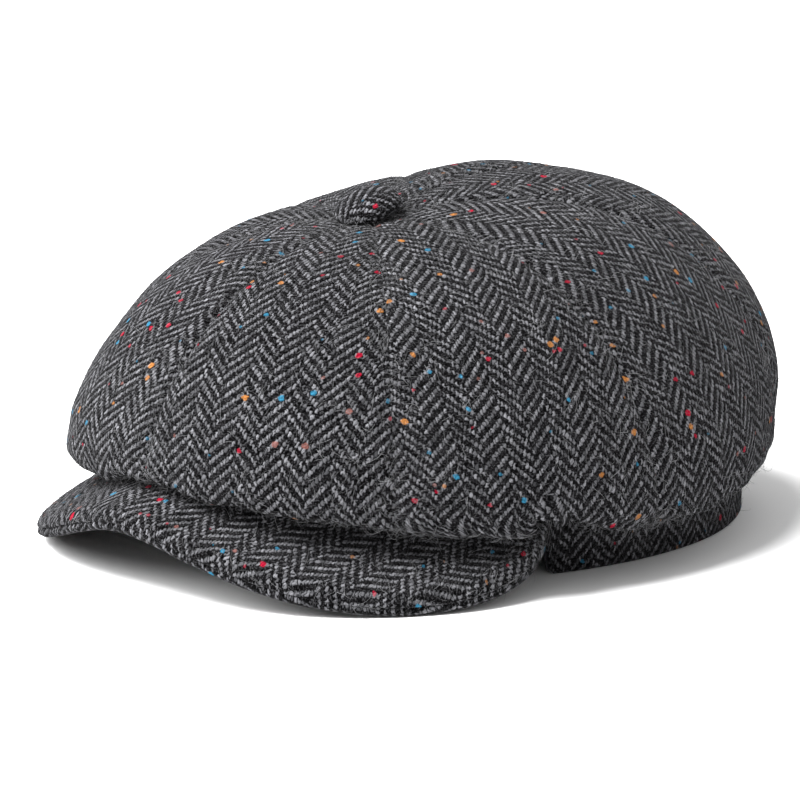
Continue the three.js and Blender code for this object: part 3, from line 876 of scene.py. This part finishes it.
def tweed_material():
    """Herringbone of light mottled yarns along and dark yarns across, with coloured neps."""
    look = Look("herringbone_tweed", sheen=0.03, sheen_roughness=0.4, specular=0.0)
    u, v, seed = look.cloth_place()
    flat = look.vector(u, v, seed)
    slow = look.noise(flat, 1 / 0.022, detail=1.0) - 0.5
    quick = look.noise(look.vector(v, u, seed + 5.0), 1 / 0.0032, detail=1.0) - 0.5
    jitter = look.noise(look.vector(v, u, seed + 9.0), 1 / 0.0011, detail=2.0) - 0.5
    across = u / YARN + slow * 1.6 + quick * 1.3 + jitter * 2.0
    along = v / YARN + slow * 1.5 - quick * 1.3 - jitter * 1.8
    column = (across / float(ENDS_PER_COLUMN)).floor()
    odd = column.modulo(2.0)
    sign = 1.0 - odd * 2.0
    warp, weft, float_number = look.weave(across, along, 4.0, sign, odd)
    yarn = across.floor()
    warp_on_top = (warp - weft).ramp(0.0, 0.18)
    height = warp.over(0.0) * warp_on_top + weft * (1.0 - warp_on_top)

    # Fibres wind round each yarn, so they cross it at a slant.
    wound = look.vector(across * 3.4 + along * 1.5, along * 0.9, yarn)
    strands = look.noise(wound, 1.5, detail=3.0, roughness=0.7)
    spread = look.random(yarn, float_number, seed)
    slub = look.noise(look.vector(yarn * 5.3, v / 0.02, seed), 1.0, detail=1.0)
    light = 0.08 + 0.16 * spread ** 1.2 + (slub - 0.5) * 0.18
    light = (light * (strands * 2.1 - 0.42)).over(0.002)
    light_yarn = look.shade((0.93, 0.93, 1.0), light)
    matted = look.noise(flat, 1 / 0.0013, detail=2.5, roughness=0.65)
    tangle = 1.0 - look.math("ABSOLUTE", matted * 2.0 - 1.0)
    hairs = tangle.ramp(0.92, 1.0) * 0.04 + strands.ramp(0.58, 0.76) * 0.015
    pick = look.random(along.floor(), column, seed)
    dark_yarn = look.shade((0.95, 0.93, 1.0), hairs + 0.001 + 0.004 * pick)
    colour = look.mix(warp_on_top * (0.72 + strands * 0.5).under(1.0), dark_yarn, light_yarn)

    for layer, (cell, keep) in enumerate(NEP_LAYERS):
        wander = look.noise(flat, 1 / 0.0013, detail=1.0) - 0.5
        spot = look.vector(u + seed * 0.37 + wander * 0.0017, v + seed * 0.53 + layer * 0.7 + slow * 0.002)
        neps = look.new("ShaderNodeTexVoronoi", Vector=spot, Scale=1 / cell)
        neps.voronoi_dimensions = "2D"
        kind, hue, size = look.parts(neps.outputs["Color"])
        reach = (0.00045 + size * 0.00085) / cell
        nep = (1.0 - (Term(look, neps.outputs["Distance"]) / reach).ramp(0.72, 1.06)) * (1.0 - (kind > keep))
        tint = look.mix(hue > 0.34, NEP_COLOURS[0], NEP_COLOURS[1])
        tint = look.mix(hue > 0.64, tint, NEP_COLOURS[2])
        tint = look.mix(hue > 0.84, tint, NEP_COLOURS[3])
        tint = look.shade(tint, 0.1 + strands * 0.7)
        colour = look.mix(nep * (0.35 + size * 0.65), colour, tint)
        height = height + nep * 0.35

    wear = look.noise(flat, 1 / 0.07, detail=2.0)
    shadow = height.ramp(-0.05, 0.75) * 0.80 + 0.20
    colour = look.shade(colour, shadow * (0.86 + wear * 0.28))
    return look.done(colour, 0.82 + strands * 0.18, height + strands * 0.4 + tangle * 0.15, 0.00036)


def fibre_material():
    """Single wool hairs, mostly pale."""
    look = Look("wool_hair", sheen=0.1, specular=0.3)
    hair = Term(look, look.tree.nodes.new("ShaderNodeNewGeometry").outputs["Random Per Island"])
    x, y, z = look.object_place()
    streak = look.noise(look.vector(x, y, z), 1 / 0.0015)
    brightness = 0.02 + 0.17 * hair ** 1.6
    return look.done(look.shade((0.96, 0.96, 1.0), brightness * (0.7 + streak * 0.6)), 0.75 + streak * 0.2)


def woven_material(name, yarn, pick, period, warp_colour, weft_colour, relief, sheen=0.1, roughness=0.7,
                   specular=0.3):
    """A fine plain or twill cloth of two yarn colours."""
    look = Look(name, sheen=sheen, specular=specular)
    u, v, seed = look.cloth_place()
    drift = look.noise(look.vector(u, v, seed), 1 / 0.012, detail=1.0) - 0.5
    across = u / yarn + drift * 0.8
    along = v / pick + drift * 0.6
    warp, weft, float_number = look.weave(across, along, period)
    warp_on_top = (warp - weft).ramp(-0.08, 0.08)
    height = warp * warp_on_top + weft * (1.0 - warp_on_top)
    uneven = look.random(across.floor(), float_number, seed) * 0.25 + 0.78
    wear = look.noise(look.vector(u, v, seed + 3.0), 1 / 0.035) * 0.35 + 0.82
    colour = look.mix(warp_on_top, weft_colour, warp_colour)
    # Where a yarn dips low between its neighbours, its colour is darkened: painted shade between the yarns,
    # on top of the random unevenness and wear.
    colour = look.shade(colour, uneven * wear * (height * 0.45 + 0.55))
    return look.done(colour, roughness + drift * 0.15, height, relief)


def felt_material():
    look = Look("needled_felt", sheen=0.2, specular=0.1)
    x, y, z = look.object_place()
    fibres = look.noise(look.vector(x * 0.4, y, z), 1 / 0.0006, detail=4.0, roughness=0.7)
    colour = look.mix(fibres, *FELT_COLOURS)
    return look.done(colour, 0.9 + fibres * 0.1, fibres, 0.0005)


def board_material():
    look = Look("moulded_board", specular=0.45)
    grain = look.noise(look.vector(*look.object_place()), 1 / 0.0007, detail=3.0)
    colour = look.mix(grain, *BOARD_COLOURS)
    return look.done(colour, 0.42 + grain * 0.18, grain, 0.00012)


def steel_material():
    look = Look("pressed_steel", specular=0.5, metallic=1.0)
    x, y, z = look.object_place()
    lines = look.noise(look.vector(x, y * 14.0, z), 1 / 0.004, detail=4.0)
    colour = look.mix(lines, *STEEL_COLOURS)
    return look.done(colour, 0.28 + lines * 0.25, lines, 0.00004)


def thread_material():
    look = Look("waxed_thread", sheen=0.1, specular=0.4)
    x, y, z = look.object_place()
    twist = ((x + y + z * 2.0) * (2 * math.pi / 0.0007)).sine() * 0.5 + 0.5
    colour = look.mix(twist, *THREAD_COLOURS)
    return look.done(colour, 0.5 + twist * 0.2, twist, 0.0001)


def floor_material():
    look = Look("white_floor", specular=0.1)
    x, y, z = look.object_place()
    mottle = look.noise(look.vector(x, y, z), 1 / 0.3)
    return look.done(look.mix(mottle, *FLOOR_COLOURS), 0.9 + mottle * 0.05)


# ---- Floor, lights and camera ----
def make_floor():
    bpy.ops.mesh.primitive_plane_add(size=FLOOR_SIZE, location=(0, 0, FLOOR_Z))
    floor = bpy.context.object
    floor.name = "floor"
    floor.data.materials.append(floor_material())


def sight():
    """The camera's right, up and forward directions."""
    turn, rise = CAMERA_TURN, CAMERA_RISE
    right = Vector((math.cos(turn), math.sin(turn), 0))
    forward = Vector((-math.sin(turn) * math.cos(rise), math.cos(turn) * math.cos(rise), -math.sin(rise)))
    return right, right.cross(forward), forward


def make_camera():
    right, up, forward = sight()
    data = bpy.data.cameras.new("camera")
    data.lens = CAMERA_LENS
    data.sensor_width = SENSOR
    camera = bpy.data.objects.new("camera", data)
    band_centre = Vector((0, CENTRE_Y, 0))
    camera.location = band_centre - right * CAMERA_LEFT + up * CAMERA_UP - forward * CAMERA_DISTANCE
    camera.rotation_euler = forward.to_track_quat("-Z", "Y").to_euler()
    bpy.context.scene.collection.objects.link(camera)
    bpy.context.scene.camera = camera


def make_sun(name, turn, rise, strength, softness):
    """A soft light from a direction, turned to the right of the camera's own."""
    data = bpy.data.lights.new(name, "SUN")
    data.energy = strength
    data.angle = softness
    lamp = bpy.data.objects.new(name, data)
    angle = CAMERA_TURN + turn
    towards = Vector((math.sin(angle) * math.cos(rise), -math.cos(angle) * math.cos(rise), math.sin(rise)))
    lamp.rotation_euler = (-towards).to_track_quat("-Z", "Y").to_euler()
    bpy.context.scene.collection.objects.link(lamp)


def make_lights():
    for name, (turn, rise, strength, softness) in SUNS.items():
        make_sun(name, math.radians(turn), math.radians(rise), strength, math.radians(softness))
    world = bpy.data.worlds.new("studio")
    world.use_nodes = True
    world.node_tree.nodes["Background"].inputs["Color"].default_value = (1, 1, 1, 1)
    world.node_tree.nodes["Background"].inputs["Strength"].default_value = WORLD_STRENGTH
    bpy.context.scene.world = world
    bpy.context.scene.view_settings.view_transform = "Standard"


# ---- The whole cap ----
def make_cap():
    tweed = tweed_material()
    lining = woven_material("twill_lining", 0.0005, 0.0005, 4.0, (0.035, 0.04, 0.055), (0.02, 0.022, 0.03),
                            0.00008, roughness=0.42, specular=0.45)
    label = woven_material("label_cloth", 0.0004, 0.0004, 2.0, (0.62, 0.58, 0.50), (0.50, 0.47, 0.40),
                           0.00008)
    tape = woven_material("cotton_tape", 0.0007, 0.0006, 2.0, (0.75, 0.73, 0.68), (0.70, 0.68, 0.62), 0.00012)
    ribbed = woven_material("grosgrain", 0.0010, 0.0004, 2.0, (0.035, 0.035, 0.042), (0.02, 0.02, 0.025),
                            0.0002)
    thread = thread_material()

    cloths = []
    for i, name in enumerate(PANELS):
        cloths.append(make_crown_panel(i, name, tweed))
        make_lining_panel(i, name, lining)
    cloths.append(make_band(tweed))
    make_tape(tape)
    make_sweatband(ribbed)
    make_stitches(thread)
    make_label(label)
    make_tag(label)
    cloths.append(make_peak_cover("peak_top", 1, PEAK_TOP_SEAM_TURN, tweed, "peak_top_cover"))
    make_peak_cover("peak_under", -1, PEAK_UNDER_SEAM_TURN, tweed, "peak_under_cover")
    make_button(tweed)
    hair = fibre_material()
    for seed, name in enumerate(FIBRE_BATCHES):
        make_fibres(name, cloths, hair, 11 + seed)

    kept = {"peak_felt": felt_material(), "peak_board": board_material(), "button_thread": thread}
    kept["button_shell"] = kept["button_back"] = steel_material()
    for node, material in kept.items():
        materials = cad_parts[node].data.materials
        materials.clear()
        materials.append(material)


make_cap()
make_floor()
make_camera()
make_lights()
